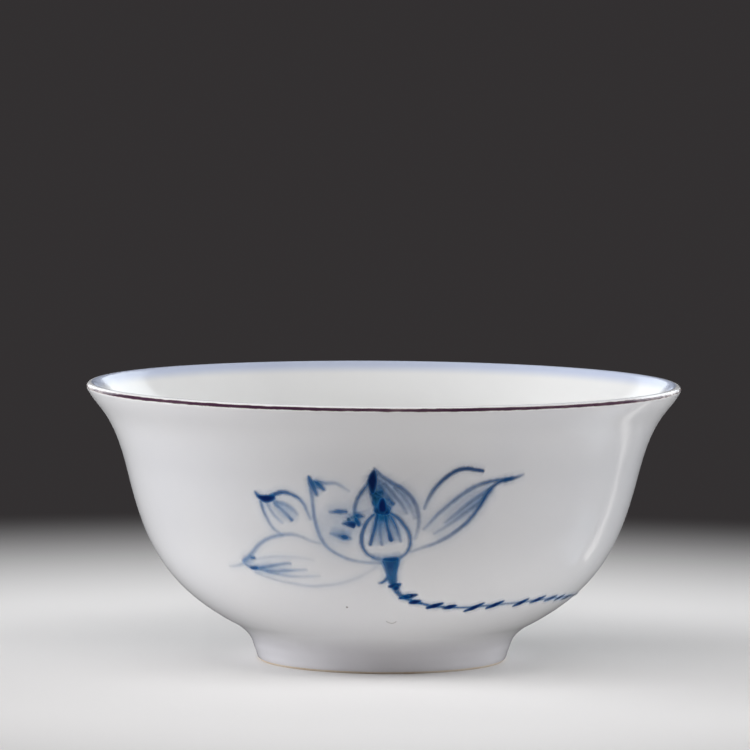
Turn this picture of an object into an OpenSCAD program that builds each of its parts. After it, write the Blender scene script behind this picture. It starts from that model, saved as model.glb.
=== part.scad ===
// A small porcelain tea bowl on a foot ring, glazed inside and out, with a brown line painted
// under its lip and a lotus brushed in cobalt on its front.
// The bowl stands on Z = 0 with its axis on Z. Its painted front faces -Y.

/* [Bowl] */
// Diameter over the rim
rim_d = 80; // [74:1:86]
// Height from the table to the top of the lip
bowl_h = 37.4; // [36:0.2:40]
// Thickness of the lip, which is rounded over
lip_t = 1.2; // [0.9:0.1:1.6]
// How far the lip leans outwards from upright, in degrees
lip_lean = 30; // [22:1:36]
// Thickness of the floor at its centre
floor_t = 2.7; // [2:0.1:3.2]

/* [Foot] */
// Diameter of the foot ring where it stands on the table
foot_d = 32.9; // [31:0.1:34]
// Diameter of the foot ring at its top
foot_top_d = 35.4; // [35:0.1:36]
// Width of the ring's flat resting face
rest_w = 1.9; // [1.4:0.1:2.6]
// Depth of the hollow inside the foot ring
well_depth = 2.9; // [2.2:0.1:3.2]

/* [Glaze and painting] */
// Thickness of the clear glaze coat
glaze_t = 0.2; // [0.1:0.05:0.3]
// Height of the bare edge below the glaze on the foot ring
bare_h = 0.3; // [0.3:0.1:1]
// How far the painted colours stand proud of the glaze
paint_t = 0.04; // [0.03:0.01:0.08]

/* [Hidden] */

porcelain_colour = "#ddd2c2";
glaze_colour = "#eef0f1";
rim_colour = "#4a2b3c";
cobalt_colour = "#243a78";
lathe_fn = 128;

// ---- Curves ----

// Point at t on the Bezier curve with the control points p
function bezier(p, t) =
    len(p) == 1 ? p[0]
    : bezier([for (i = [0 : len(p) - 2]) p[i] * (1 - t) + p[i + 1] * t], t);

// Points on a Bezier curve from t = first to t = last, in the given number of steps
function curve(p, steps, first = 0, last = 1) =
    [for (i = [0 : steps]) bezier(p, first + (last - first) * i / steps)];

// Direction in the outline's plane, as degrees of lean from upright
function leaning(a) = [sin(a), cos(a)];

// Points of a circle's arc, by the angle above the outward horizontal
function arc_pts(centre, r, first, last, steps) =
    [for (i = [0 : steps])
        let (a = first + (last - first) * i / steps) centre + r * [cos(a), sin(a)]];

// An open outline moved sideways by d, towards the left of its direction of travel
function inset(p, d) =
    [for (i = [0 : len(p) - 1])
        let (way = p[min(i + 1, len(p) - 1)] - p[max(i - 1, 0)],
             q = p[i] + d * [-way[1], way[0]] / norm(way))
        [p[i][0] == 0 ? 0 : q[0], q[1]]];

function reversed(p) = [for (i = [len(p) - 1 : -1 : 0]) p[i]];
function part_of(p, first, last) = [for (i = [first : last]) p[i]];

// ---- Outline of the bowl, as [radius, height] ----

lip_r = lip_t / 2;
lip_centre = [rim_d / 2 - lip_r, bowl_h - lip_r];
lip_way = leaning(lip_lean);
lip_out = [lip_way[1], -lip_way[0]];

// Waist: where the belly's curve gives way to the flare of the lip
waist_inset = 5.5;
waist_drop = 11.8;
waist_lean = 14;
waist_t = 1.6;
waist = [rim_d / 2 - waist_inset, bowl_h - waist_drop];
waist_way = leaning(waist_lean);
waist_in = waist + waist_t * [-waist_way[1], waist_way[0]];

// Foot: the ring's outer side
edge_bevel = 0.25;
foot_h = 3;
foot_low = [foot_d / 2 + edge_bevel, edge_bevel];
foot_side = [foot_top_d / 2, foot_h] - foot_low;
glaze_edge = foot_low + foot_side * (bare_h - edge_bevel) / foot_side[1];

// Belly: from the foot to the waist. The pulls are how far each end of a curve holds its way.
belly_start = foot_low + foot_side + [0.2, 1];
belly_lean = 65;
belly_pull = [12.9, 10.1];
belly_line = [
    belly_start, belly_start + belly_pull[0] * leaning(belly_lean),
    waist - belly_pull[1] * waist_way, waist,
];

// Fillet: from a share of the way up the foot's side to a share of the way along the belly
fillet_low = 0.7;
fillet_high = 0.08;
fillet = [foot_low + fillet_low * foot_side, belly_start, bezier(belly_line, fillet_high)];

flare_pull = [8, 3.2];
lip_join = lip_centre + lip_r * lip_out;
flare = [waist, waist + flare_pull[0] * waist_way, lip_join - flare_pull[1] * lip_way, lip_join];

outer_wall = concat(
    [glaze_edge],
    curve(fillet, 5),
    part_of(curve(belly_line, 15, fillet_high), 1, 15),
    part_of(curve(flare, 9), 1, 9)
);

out_steps = 10;
in_steps = 5;
lip_arc = concat(
    arc_pts(lip_centre, lip_r, -lip_lean, 90, out_steps),
    part_of(arc_pts(lip_centre, lip_r, 90, 180 - lip_lean, in_steps), 1, in_steps - 1)
);

// Inside: the flare again, then one curve down to the middle of the floor
floor_top = floor_t + well_depth;
inner_pull = [2.2, 7.2];
dish_pull = [19.8, 17];
lip_join_in = lip_centre - lip_r * lip_out;
inner_flare = [
    lip_join_in, lip_join_in - inner_pull[0] * lip_way, waist_in + inner_pull[1] * waist_way, waist_in,
];
dish = [waist_in, waist_in - dish_pull[0] * waist_way, [dish_pull[1], floor_top], [0, floor_top]];
inner_wall = concat(curve(inner_flare, 9), part_of(curve(dish, 18), 1, 18));

skin = concat(outer_wall, part_of(lip_arc, 1, len(lip_arc) - 1), inner_wall);
lip_top = len(outer_wall) - 1 + out_steps;
skin_under = inset(skin, glaze_t);

// Hollow inside the foot ring, from its bare edge to its centre. Its side leans in by well_lean
// and its corner is rounded by well_round. Its roof falls by well_sag from its centre.
well_lean = 1;
well_round = 0.9;
well_sag = 0.1;
well_low = [foot_d / 2 - rest_w - edge_bevel, edge_bevel];
well_corner = [well_low[0] - well_lean, well_depth - well_sag];
well_side = well_corner - well_low;
well_edge = well_low + well_side * (bare_h - edge_bevel) / well_side[1];
well_bend = [
    well_corner - well_side * well_round / well_side[1], well_corner, well_corner - [well_round, 0],
];
well_skin = concat([well_edge], curve(well_bend, 4), [[0, well_depth]]);
well_under = inset(well_skin, -glaze_t);

// ---- Brush strokes ----

// Each stroke is [[widths at its start, middle and end], [[angle, height], ...]]. The angle is in
// degrees around the bowl from its front, growing towards +X. The height is that on a bowl as
// tall as drawn_h.
drawn_h = 37.4;
drawn = bowl_h / drawn_h;
stroke_steps = 6;
look = 0.05;

left_petal_strokes = [
    [[0.10, 0.35, 0.50], [[-28.8, 25.6], [-28.4, 25.2], [-27.9, 24.8]]],
    [[0.45, 0.75, 0.95], [[-28.1, 24.8], [-26.6, 24.6], [-24.4, 24.7]]],
    [[0.60, 0.50, 0.20], [[-25.5, 24.9], [-23.6, 25.6], [-21.8, 25.8], [-20, 25.4], [-18.6, 25],
                          [-17.6, 24.2], [-17, 23.3], [-16.3, 22.2]]],
    [[0.60, 0.50, 0.30], [[-27.6, 24.4], [-27.2, 23.1], [-26.4, 21.8], [-25.4, 20.8], [-24.2, 20.2],
                          [-22.9, 19.8]]],
    [[0.45, 0.45, 0.30], [[-26.2, 24.3], [-25.2, 23], [-23.8, 22], [-22.6, 21.4]]],
    [[0.30, 0.30, 0.35], [[-24.5, 24.2], [-22.6, 23.2], [-21.2, 22.4], [-20.3, 21.8]]],
    [[0.50, 0.70, 0.50], [[-24.2, 24.3], [-22, 24], [-20.2, 23.4], [-18.9, 22.6]]],
];

tall_petal_strokes = [
    [[0.10, 0.80, 0.50], [[-15.9, 28], [-15.2, 26.9], [-14.3, 25.4]]],
    [[0.20, 0.55, 0.35], [[-14.8, 27.3], [-13.7, 26.8], [-12.6, 26.1]]],
    [[0.35, 0.50, 0.35], [[-15.9, 27.6], [-15.5, 26], [-15.3, 24], [-15.2, 22.5], [-14.7, 20.9],
                          [-13.8, 19.4], [-12.4, 18.3], [-10, 17.4], [-7.3, 16.8], [-4, 16.5], [-1, 16.4],
                          [0.8, 16.5]]],
    [[0.50, 0.35, 0.15], [[-14.4, 27.2], [-12.2, 27], [-10, 27], [-8.2, 26.4], [-6.9, 25.9]]],
];

back_petal_strokes = [
    [[0.20, 1.10, 0.60], [[-1.8, 29], [-2.1, 27.6], [-1.8, 26.2]]],
    [[0.25, 0.60, 0.35], [[-1.9, 29.3], [0, 28.2], [2.2, 27.3], [4.2, 26.6], [5.9, 25.6],
                          [7.1, 24.3], [7.8, 23], [8, 21.8], [7.8, 20.7], [7.2, 19.6]]],
    [[0.50, 0.40, 0.35], [[-2.9, 27.6], [-4.1, 26.8], [-5.2, 25.8], [-5.9, 24.7], [-6.1, 23.5],
                          [-5.7, 22.3], [-5, 21.4]]],
    [[0.60, 0.70, 0.50], [[-2.4, 26.6], [-2.3, 25.3], [-1.8, 24]]],
    [[0.40, 0.50, 0.40], [[-1.7, 26.8], [-1, 25.6], [-0.3, 24.6]]],
    [[0.40, 0.45, 0.55], [[-0.9, 26.9], [0.8, 25.5], [2.4, 24.2]]],
    [[0.50, 0.50, 0.40], [[0.2, 27.2], [2.2, 25.7], [4, 24.4], [5.4, 23]]],
    [[0.60, 0.90, 0.50], [[2.2, 26.7], [4.4, 25.4], [6.2, 23.8], [7.2, 22.3]]],
];

right_petal_strokes = [
    [[0.10, 0.35, 0.50], [[31.4, 28], [28.8, 27.5], [26.4, 27.3]]],
    [[0.50, 0.45, 0.30], [[27, 27.4], [24.4, 27.3], [22, 27], [20, 26.6], [18, 25.9], [16, 25],
                          [14, 24], [12, 22.9], [10.4, 21.8], [9, 20.9]]],
    [[0.35, 0.60, 0.30], [[28.6, 27.5], [26.6, 27.2], [25, 26.8], [23.7, 26.1], [22.8, 25.2],
                          [22, 24.2], [20.9, 23.1], [19.6, 22.1], [18, 21.2], [16, 20.3], [14, 19.6],
                          [12, 19], [10, 18.6], [8, 18.2], [6.3, 17.8]]],
    [[0.60, 0.55, 0.35], [[24, 26.3], [22, 25.6], [20, 24.8], [17.8, 23.8], [15.6, 22.7], [13.6, 21.7]]],
    [[0.50, 0.50, 0.35], [[22.8, 25.2], [20.8, 24.2], [18.4, 23.2], [15.8, 22], [13, 20.9], [11.4, 20.3]]],
];

long_petal_strokes = [
    [[0.10, 0.30, 0.70], [[-40.5, 15], [-37.8, 15.2], [-35.2, 15.7]]],
    [[0.45, 0.60, 0.35], [[-35.6, 15.9], [-33.6, 16.5], [-31.6, 17.4], [-29.6, 18.4], [-27.6, 19.1],
                          [-25.4, 19.6], [-23, 19.9], [-20.6, 20], [-18.4, 19.7],
                          [-16.2, 19.2], [-14, 18.9]]],
    [[0.40, 0.50, 0.35], [[-33.4, 16.2], [-32.4, 16.3], [-31.6, 16.3]]],
    [[0.20, 0.30, 0.30], [[-35.3, 15.8], [-34.7, 15.4], [-33.8, 15.1]]],
    [[0.30, 0.55, 0.40], [[-34.1, 15], [-32.9, 15], [-31.6, 15.1]]],
    [[0.35, 0.35, 0.25], [[-32, 15.1], [-29.4, 15.3], [-26.4, 15.7], [-23.6, 16], [-22, 16]]],
    [[0.30, 0.35, 0.25], [[-29.6, 14.8], [-26, 14.9], [-22, 15.1], [-18.2, 15.3]]],
    [[0.40, 0.40, 0.30], [[-31.4, 15], [-28, 14.6], [-24, 14.3], [-20, 14.3], [-15, 14.5]]],
    [[0.25, 0.35, 0.25], [[-31.6, 16.3], [-29, 16.6], [-25, 16.9], [-20, 16.9], [-16, 16.6]]],
    [[0.30, 0.50, 0.40], [[-33, 14.5], [-30, 14], [-26.4, 13.5], [-22.4, 13.2], [-18, 13],
                          [-14, 13.2], [-10, 13.6], [-6, 14.4], [-3, 15.3], [-1, 16]]],
];

arc_petal_strokes = [
    [[0.30, 0.55, 0.30], [[21.5, 28.5], [20, 28.7], [18, 28.9], [16, 28.7], [14.2, 28.1],
                          [12.6, 27.4], [11.2, 26.5], [10.1, 25.4], [9.4, 24.4], [9, 23.6]]],
];

lotus_bud_strokes = [
    [[0.20, 0.65, 0.90], [[-0.1, 25.1], [-0.1, 24.3], [0, 23.2]]],
    [[0.30, 1.40, 0.30], [[-1.8, 23.3], [0, 23.5], [1.6, 23.1]]],
    [[0.50, 0.45, 0.30], [[-1.7, 23.1], [-3, 22.3], [-4, 21.3], [-4.6, 20.2], [-4.7, 19.2],
                          [-4.3, 18.4], [-3.4, 17.7], [-2, 17.2], [-0.4, 16.9]]],
    [[0.50, 0.50, 0.35], [[1.7, 23.1], [3.3, 22.6], [4.8, 21.6], [5.9, 20.5], [6.3, 19.4],
                          [6.1, 18.5], [5.4, 17.8], [4.4, 17.3], [3.4, 17]]],
    [[0.60, 0.45, 0.50], [[-1.1, 23.2], [-1.6, 21.5], [-2.2, 20.2], [-2.8, 18.8]]],
    [[0.50, 0.40, 0.30], [[-0.4, 23.2], [-0.6, 21.4], [-0.4, 20], [-0.1, 18.8]]],
    [[0.50, 0.40, 0.50], [[0.5, 23.1], [1, 21.5], [1.6, 20.3], [2.1, 19.4]]],
    [[0.60, 0.45, 0.35], [[1.5, 23], [2.6, 21.9], [3.3, 20.8], [4.2, 19.3]]],
];

stamen_strokes = [
    [[0.10, 0.70, 0.40], [[-11.9, 23.2], [-9.6, 23.3], [-7.6, 23.3]]],
    [[0.15, 0.70, 1.10], [[-9.1, 21.5], [-7.4, 21.5], [-6, 21.2]]],
    [[0.15, 0.80, 0.15], [[-11.9, 20.4], [-9, 19.9], [-6.7, 19.7]]],
    [[0.50, 0.60, 0.15], [[-6, 22.8], [-5, 22.8], [-3.8, 22.6]]],
];

// The stem's broad top, its hook, and the line that runs on around the bowl
stem_strokes = [
    [[2.50, 1.25, 0.90], [[2, 17.1], [2.1, 15.8], [2.4, 14.6], [2.9, 13.5]]],
    [[0.30, 0.25, 0.10], [[1.3, 14.6], [0.7, 14.1], [-0.1, 13.8], [-1, 13.7]]],
    [[0.80, 0.60, 0.45], [[2.7, 13.5], [3.6, 12.7], [4.8, 12], [6.6, 11.5], [8.6, 11.1], [10.6, 10.8]]],
    [[0.40, 0.28, 0.25], [[10, 10.9], [12, 10.6], [15, 10.3], [19, 10.1], [24, 10], [30, 10.1], [36, 10.2],
                          [42, 10.2], [50, 10.3], [57, 10.2]]],
    [[0.25, 0.30, 0.10], [[57, 10.2], [66, 10], [75, 9.7], [84, 9.4], [94, 9.2], [104, 9.1], [114, 9.1]]],
];

// Slanted touches of the brush along the stem: [angle, height, length in degrees, rise]
stem_touches = [
    [1.5, 13.2, 3.3, 0.4], [4.3, 11.6, 4.9, 0.5], [7.1, 10.9, 3.3, 0.3], [12.1, 10.1, 4.7, 0.7],
    [17, 10, 3.8, 0.4], [23.7, 9.4, 5.3, 1.2], [30.3, 9.7, 4.9, 1], [39.7, 9.7, 4.4, 1],
    [45.7, 10, 5.2, 0.8], [51.9, 10, 5.2, 0.6], [57.7, 9.8, 4.1, 0.7],
];
touch_widths = [0.12, 0.6, 0.15];

function clamped(p, i) = p[max(0, min(len(p) - 1, i))];

// Smooth curve through the points p, at u counted in points
function spline(p, u) =
    let (i = min(floor(u), len(p) - 2), t = u - i,
         a = clamped(p, i - 1), b = p[i], c = p[i + 1], d = clamped(p, i + 2))
    (2 * b + (c - a) * t + (2 * a - 5 * b + 4 * c - d) * t * t
        + (3 * b - a - 3 * c + d) * t * t * t) / 2;

// Width of a stroke at t from 0 to 1, rounded off at both ends
function brush_w(w, t) =
    (t < 0.5 ? w[0] + (w[1] - w[0]) * 2 * t : w[1] + (w[2] - w[1]) * (2 * t - 1))
        * sqrt(1 - pow(0.98 * (2 * t - 1), 6));

wall_table = [for (p = outer_wall) [p[1], p[0]]];

// Point off the outer glaze by d, at angle a around the bowl and height z
function on_wall(a, z, d) =
    let (r = lookup(z, wall_table) + d) [r * sin(a), -r * cos(a), z];

// Points around a stroke's outline, flat in the plane that faces the given angle
function stroke_outline(w, path, facing) =
    let (p = [for (q = path) [q[0], q[1] * drawn]],
         n = max(stroke_steps, 2 * (len(p) - 1)))
    concat(
        [for (i = [0 : n]) stroke_edge(w, p, i / n, 1, facing)],
        [for (i = [n : -1 : 0]) stroke_edge(w, p, i / n, -1, facing)]
    );

// Point on one edge of a stroke, at t from 0 to 1 along it. It is set off sideways on the
// slanting wall, then seen straight on
function stroke_edge(w, p, t, hand, facing) =
    let (u = t * (len(p) - 1), here = spline(p, u),
         way = spline(p, min(u + look, len(p) - 1)) - spline(p, max(u - look, 0)),
         r = lookup(here[1], wall_table),
         flare = (lookup(here[1] + 0.5, wall_table) - lookup(here[1] - 0.5, wall_table)),
         climb = norm([1, flare]), mm = PI * r / 180,
         flat = [way[0] * mm, way[1] * climb],
         off = hand * brush_w(w, t) / 2 * [-flat[1] / mm, flat[0] / climb] / norm(flat),
         q = here + off)
    [lookup(q[1], wall_table) * sin(q[0] - facing), q[1]];

// A skin of colour over the outer glaze, cut to the strokes of one group. The strokes reach no
// lower than low and no higher than high, and stay within a quarter turn of the facing angle
module painted(strokes, facing, low, high) {
    under = [for (p = outer_wall) if (p[1] > low * drawn && p[1] < high * drawn) p];
    color(cobalt_colour)
        rotate([0, 0, facing])
            intersection() {
                rotate_extrude($fn = lathe_fn)
                    polygon(concat(under, reversed(inset(under, -paint_t))));
                rotate([90, 0, 0])
                    linear_extrude(rim_d / 2 + 1)
                        for (s = strokes)
                            polygon(stroke_outline(s[0], s[1], facing));
            }
}

// ---- Parts ----

// The thrown and fired clay: wall, floor and foot ring, bare at the foot's edge
module porcelain_body() {
    outline = concat(
        [[0, well_depth + glaze_t]],
        reversed(part_of(well_under, 0, len(well_under) - 2)),
        [well_edge, well_low, well_low + [edge_bevel, -edge_bevel]],
        [foot_low - [edge_bevel, edge_bevel], foot_low, glaze_edge],
        skin_under
    );
    color(porcelain_colour)
        rotate_extrude($fn = lathe_fn)
            polygon(outline);
}

// The coat of glaze between an outline and the same outline inset
module glaze_coat(over, under) {
    color(glaze_colour)
        rotate_extrude($fn = lathe_fn)
            polygon(concat(over, reversed(under)));
}

module outer_glaze() {
    glaze_coat(part_of(skin, 0, lip_top), part_of(skin_under, 0, lip_top));
}

module inner_glaze() {
    last = len(skin) - 1;
    glaze_coat(part_of(skin, lip_top, last), part_of(skin_under, lip_top, last));
}

module foot_well_glaze() {
    glaze_coat(well_skin, well_under);
}

// The brown line around the outer shoulder of the lip
module rim_line() {
    low = -6;
    high = 44;
    steps = 4;
    line = concat(
        arc_pts(lip_centre, lip_r + paint_t, low, high, steps),
        reversed(arc_pts(lip_centre, lip_r, low, high, steps))
    );
    color(rim_colour)
        rotate_extrude($fn = lathe_fn)
            polygon(line);
}

module left_petal() { painted(left_petal_strokes, -23, 18, 28); }
module tall_petal() { painted(tall_petal_strokes, -9, 14, 30); }
module back_petal() { painted(back_petal_strokes, 1, 18, 32); }
module right_petal() { painted(right_petal_strokes, 18, 15, 30); }
module long_petal() { painted(long_petal_strokes, -20, 11, 22); }
module arc_petal() { painted(arc_petal_strokes, 15, 21, 31); }
module lotus_bud() { painted(lotus_bud_strokes, 1, 14, 27); }
module stamens() { painted(stamen_strokes, -8, 17, 26); }

module stem() {
    touches = [for (k = stem_touches)
        [touch_widths, [[k[0], k[1]], [k[0] + k[2] / 2, k[1] + 0.3 * k[3]], [k[0] + k[2], k[1] + k[3]]]]];
    painted(concat(stem_strokes, touches), 30, 7, 19);
}

porcelain_body();
outer_glaze();
inner_glaze();
foot_well_glaze();
rim_line();
left_petal();
tall_petal();
back_petal();
right_petal();
long_petal();
arc_petal();
lotus_bud();
stamens();
stem();
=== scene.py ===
"""Looks for a porcelain tea bowl: lathe-turned clay and glaze coats, a hand-painted brown rim
line and a lotus brushed in cobalt, on a floor with a painted pool of pale light, in soft studio light.

Design sizes are in millimetres and the bowl stands on Z = 0, as in the CAD frame. Blender works
in metres, so meshes are scaled by MM as they are made.
"""

import math

import bmesh
import bpy
import numpy as np
from mathutils import Matrix, Vector


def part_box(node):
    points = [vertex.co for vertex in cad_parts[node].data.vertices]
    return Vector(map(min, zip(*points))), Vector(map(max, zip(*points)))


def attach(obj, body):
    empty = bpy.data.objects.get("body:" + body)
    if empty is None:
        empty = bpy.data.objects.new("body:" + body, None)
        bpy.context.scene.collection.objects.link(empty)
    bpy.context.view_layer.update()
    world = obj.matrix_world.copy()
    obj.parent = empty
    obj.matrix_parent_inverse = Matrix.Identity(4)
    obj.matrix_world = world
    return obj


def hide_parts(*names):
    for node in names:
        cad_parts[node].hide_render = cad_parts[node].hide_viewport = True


MM = 0.001

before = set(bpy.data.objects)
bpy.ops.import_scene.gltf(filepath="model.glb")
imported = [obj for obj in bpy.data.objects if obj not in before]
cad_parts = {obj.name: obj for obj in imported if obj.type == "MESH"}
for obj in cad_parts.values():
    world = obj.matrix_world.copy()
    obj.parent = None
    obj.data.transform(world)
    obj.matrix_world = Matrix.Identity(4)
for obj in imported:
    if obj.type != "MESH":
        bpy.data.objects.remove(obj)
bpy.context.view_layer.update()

# ---------------------------------------------------------------- sizes from the frame

coat_low, coat_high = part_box("outer_glaze")
clay_low, clay_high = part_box("porcelain_body")
well_low, well_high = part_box("foot_well_glaze")
inner_low, inner_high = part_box("inner_glaze")

RIM_R = coat_high[0] / MM
BOWL_H = coat_high[2] / MM
BARE_H = coat_low[2] / MM
GLAZE_T = (coat_high[2] - clay_high[2]) / MM
FLOOR_TOP = inner_low[2] / MM + GLAZE_T
WELL_DEPTH = well_high[2] / MM - GLAZE_T

LIP_R = 0.6
LIP_LEAN = 30
WAIST_LEAN = 14
WALL_T = 1.6
FOOT_R = 16.45
FOOT_TOP_R = 17.7
FOOT_H = 3.0
REST_W = 1.9
EDGE = 0.25

AROUND = 384
SEED = 11
RIM_FADE = 0.17
PEEL_SCALE = 420.0
PEEL_HEIGHT = 0.000012


# ---------------------------------------------------------------- outlines, as (radius, height) in mm


def bezier(points, steps, first=0.0, last=1.0):
    """Points on a Bezier curve of any degree."""
    t = np.linspace(first, last, steps + 1)[:, None]
    level = [np.array(p, float)[None, :] + 0 * t for p in points]
    while len(level) > 1:
        level = [a * (1 - t) + b * t for a, b in zip(level, level[1:])]
    return level[0]


def leaning(degrees):
    a = math.radians(degrees)
    return np.array([math.sin(a), math.cos(a)])


def arc(centre, radius, first, last, steps):
    a = np.radians(np.linspace(first, last, steps + 1))
    return centre + radius * np.stack([np.cos(a), np.sin(a)], 1)


def normals_of(line):
    """Unit normals to the right of an outline's direction of travel."""
    way = np.gradient(line, axis=0)
    way /= np.linalg.norm(way, axis=1)[:, None]
    return np.stack([way[:, 1], -way[:, 0]], 1)


def inset(line, depth):
    moved = line - depth * normals_of(line)
    moved[:, 0] = np.where(line[:, 0] < 1e-6, 0.0, np.maximum(moved[:, 0], 0.0))
    return moved


lip_centre = np.array([RIM_R - LIP_R, BOWL_H - LIP_R])
lip_way = leaning(LIP_LEAN)
lip_out = np.array([lip_way[1], -lip_way[0]])
waist = np.array([RIM_R - 5.5, BOWL_H - 11.8])
waist_way = leaning(WAIST_LEAN)
waist_in = waist + WALL_T * np.array([-waist_way[1], waist_way[0]])
foot_low = np.array([FOOT_R + EDGE, EDGE])
foot_side = np.array([FOOT_TOP_R, FOOT_H])
belly_start = foot_side + (0.2, 1.0)
fillet_start = foot_low + 0.7 * (foot_side - foot_low)
glaze_edge = foot_low + (foot_side - foot_low) * (BARE_H - EDGE) / (FOOT_H - EDGE)


def outer_outline():
    """From the glaze's lower edge on the foot ring up to the top of the lip."""
    belly = (belly_start, belly_start + 12.9 * leaning(65), waist - 10.1 * waist_way, waist)
    join = bezier(belly, 1, 0.08, 0.08)[0]
    lip = lip_centre + LIP_R * lip_out
    flare = (waist, waist + 8 * waist_way, lip - 3.2 * lip_way, lip)
    return np.vstack([
        bezier((glaze_edge, fillet_start), 6)[:-1],
        bezier((fillet_start, belly_start, join), 14)[:-1],
        bezier(belly, 54, 0.08)[:-1],
        bezier(flare, 34)[:-1],
        arc(lip_centre, LIP_R, -LIP_LEAN, 90, 20),
    ])


def inner_outline():
    """From the top of the lip down the inside to the middle of the floor."""
    lip = lip_centre - LIP_R * lip_out
    flare = (lip, lip - 2.2 * lip_way, waist_in + 7.2 * waist_way, waist_in)
    dish = (waist_in, waist_in - 19.8 * waist_way, (17, FLOOR_TOP), (0, FLOOR_TOP))
    return np.vstack([
        arc(lip_centre, LIP_R, 90, 180 - LIP_LEAN, 10)[:-1],
        bezier(flare, 30)[:-1],
        bezier(dish, 60),
    ])


def well_outline():
    """From the glaze's edge inside the foot ring to the middle of the hollow."""
    mouth = np.array([FOOT_R - REST_W - EDGE, EDGE])
    corner = np.array([mouth[0] - 1, WELL_DEPTH - 0.1])
    edge = mouth + (corner - mouth) * (BARE_H - EDGE) / (corner[1] - EDGE)
    return np.vstack([
        bezier((edge, corner + (0.3, -0.9)), 3)[:-1],
        bezier((corner + (0.3, -0.9), corner, corner + (-0.9, 0)), 8),
        bezier((corner + (-0.9, 0), (0, WELL_DEPTH)), 8)[1:],
    ])


OUTER = outer_outline()
INNER = inner_outline()
WELL = well_outline()
OUTER_N = normals_of(OUTER)
UP_TO_LIP = np.argmax(OUTER[:, 0])


def wall_at(height):
    """Radius and normal of the outer wall at a height below the lip."""
    z = OUTER[: UP_TO_LIP + 1, 1]
    radius = np.interp(height, z, OUTER[: UP_TO_LIP + 1, 0])
    normal_r = np.interp(height, z, OUTER_N[: UP_TO_LIP + 1, 0])
    normal_z = np.interp(height, z, OUTER_N[: UP_TO_LIP + 1, 1])
    return radius, normal_r, normal_z


def unevenness(turn, height):
    """Millimetres by which a hand-thrown wall strays from true, growing towards the lip."""
    share = np.clip(height / BOWL_H, 0, 1)
    slow = 0.045 * np.sin(2 * turn + 0.7) + 0.02 * np.sin(3 * turn - 1.1 + 0.1 * height)
    return share**2 * slow + share * 0.006 * np.sin(5 * turn + 0.5 * height)


def spun(radius, height, turn):
    """Points in metres for a radius and height in mm, turned from the front (-Y) towards +X."""
    r = radius + unevenness(turn, height) * np.clip(radius / 8, 0, 1)
    return np.stack([r * np.sin(turn), -r * np.cos(turn), height + 0 * r], -1) * MM


# ---------------------------------------------------------------- meshes


def finished(name, vertices, faces, material, attributes=None):
    """A smooth-shaded closed mesh with sharp creases, riding on the one body of the bowl."""
    mesh = bpy.data.meshes.new(name)
    mesh.from_pydata([tuple(v) for v in vertices], [], faces)
    for key, values in (attributes or {}).items():
        layer = mesh.attributes.new(key, "FLOAT_VECTOR", "POINT")
        layer.data.foreach_set("vector", np.asarray(values, np.float32).ravel())
    built = bmesh.new()
    built.from_mesh(mesh)
    bmesh.ops.recalc_face_normals(built, faces=built.faces)
    crease = math.radians(38)
    for edge in built.edges:
        edge.smooth = not edge.is_manifold or edge.calc_face_angle(0) < crease
    for face in built.faces:
        face.smooth = True
    built.to_mesh(mesh)
    built.free()
    mesh.materials.append(material)
    piece = bpy.data.objects.new(name, mesh)
    bpy.context.scene.collection.objects.link(piece)
    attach(piece, "root")
    return piece


def lathe(name, outline, material, around=AROUND):
    """A closed outline turned about Z. Points on the axis become a single vertex."""
    turns = np.arange(around) * 2 * math.pi / around
    vertices, rings = [], []
    for radius, height in outline:
        if radius < 1e-6:
            rings.append([len(vertices)] * around)
            vertices.append((0, 0, height * MM))
        else:
            rings.append(list(range(len(vertices), len(vertices) + around)))
            vertices.extend(spun(np.full(around, radius), np.full(around, height), turns))
    faces = []
    for low, high in zip(rings, rings[1:] + rings[:1]):
        if low[0] == low[1] and high[0] == high[1]:
            continue
        for i in range(around):
            j = (i + 1) % around
            corners = list(dict.fromkeys((low[i], low[j], high[j], high[i])))
            faces.append(corners)
    return finished(name, vertices, faces, material)


def coat_outline(over, thickness, bead=0.0):
    """A glaze coat: its face, and its back against the clay, with a bead along its first edge."""
    face = over.copy()
    if bead:
        run = np.linalg.norm(over - over[0], axis=1)
        swell = bead * np.exp(-((run - 0.35) / 0.3) ** 2)
        face = over + normals_of(over) * swell[:, None]
    back = inset(over, thickness)[::-2]
    return np.vstack([face, back])


# ---------------------------------------------------------------- materials


def new_material(name):
    material = bpy.data.materials.new(name)
    material.use_nodes = True
    return material, material.node_tree, material.node_tree.nodes["Principled BSDF"]


def add(tree, kind, inputs=None, **settings):
    """A shader node, with its settings, and its inputs set to values or linked to sockets."""
    made = tree.nodes.new(kind)
    for key, value in settings.items():
        setattr(made, key, value)
    for key, value in (inputs or {}).items():
        if isinstance(value, bpy.types.NodeSocket):
            tree.links.new(value, made.inputs[key])
        else:
            made.inputs[key].default_value = value
    return made


def maths(tree, operation, *values, clamp=False):
    made = add(tree, "ShaderNodeMath", dict(enumerate(values)), operation=operation)
    made.use_clamp = clamp
    return made.outputs[0]


def ramp(tree, factor, stops, smooth=False):
    made = add(tree, "ShaderNodeValToRGB", {"Fac": factor})
    bands = made.color_ramp
    bands.interpolation = "EASE" if smooth else "LINEAR"
    while len(bands.elements) < len(stops):
        bands.elements.new(0.5)
    for element, (place, colour) in zip(bands.elements, stops):
        element.position = place
        element.color = (*colour, 1.0)
    return made.outputs["Color"]


def noise(tree, vector, scale, detail=3.0, roughness=0.5):
    made = add(tree, "ShaderNodeTexNoise", {"Vector": vector, "Scale": scale, "Detail": detail,
                                            "Roughness": roughness})
    return made.outputs["Fac"]


def stretched(tree, vector, scale):
    return add(tree, "ShaderNodeVectorMath", {0: vector, 1: scale}, operation="MULTIPLY").outputs[0]


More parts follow.
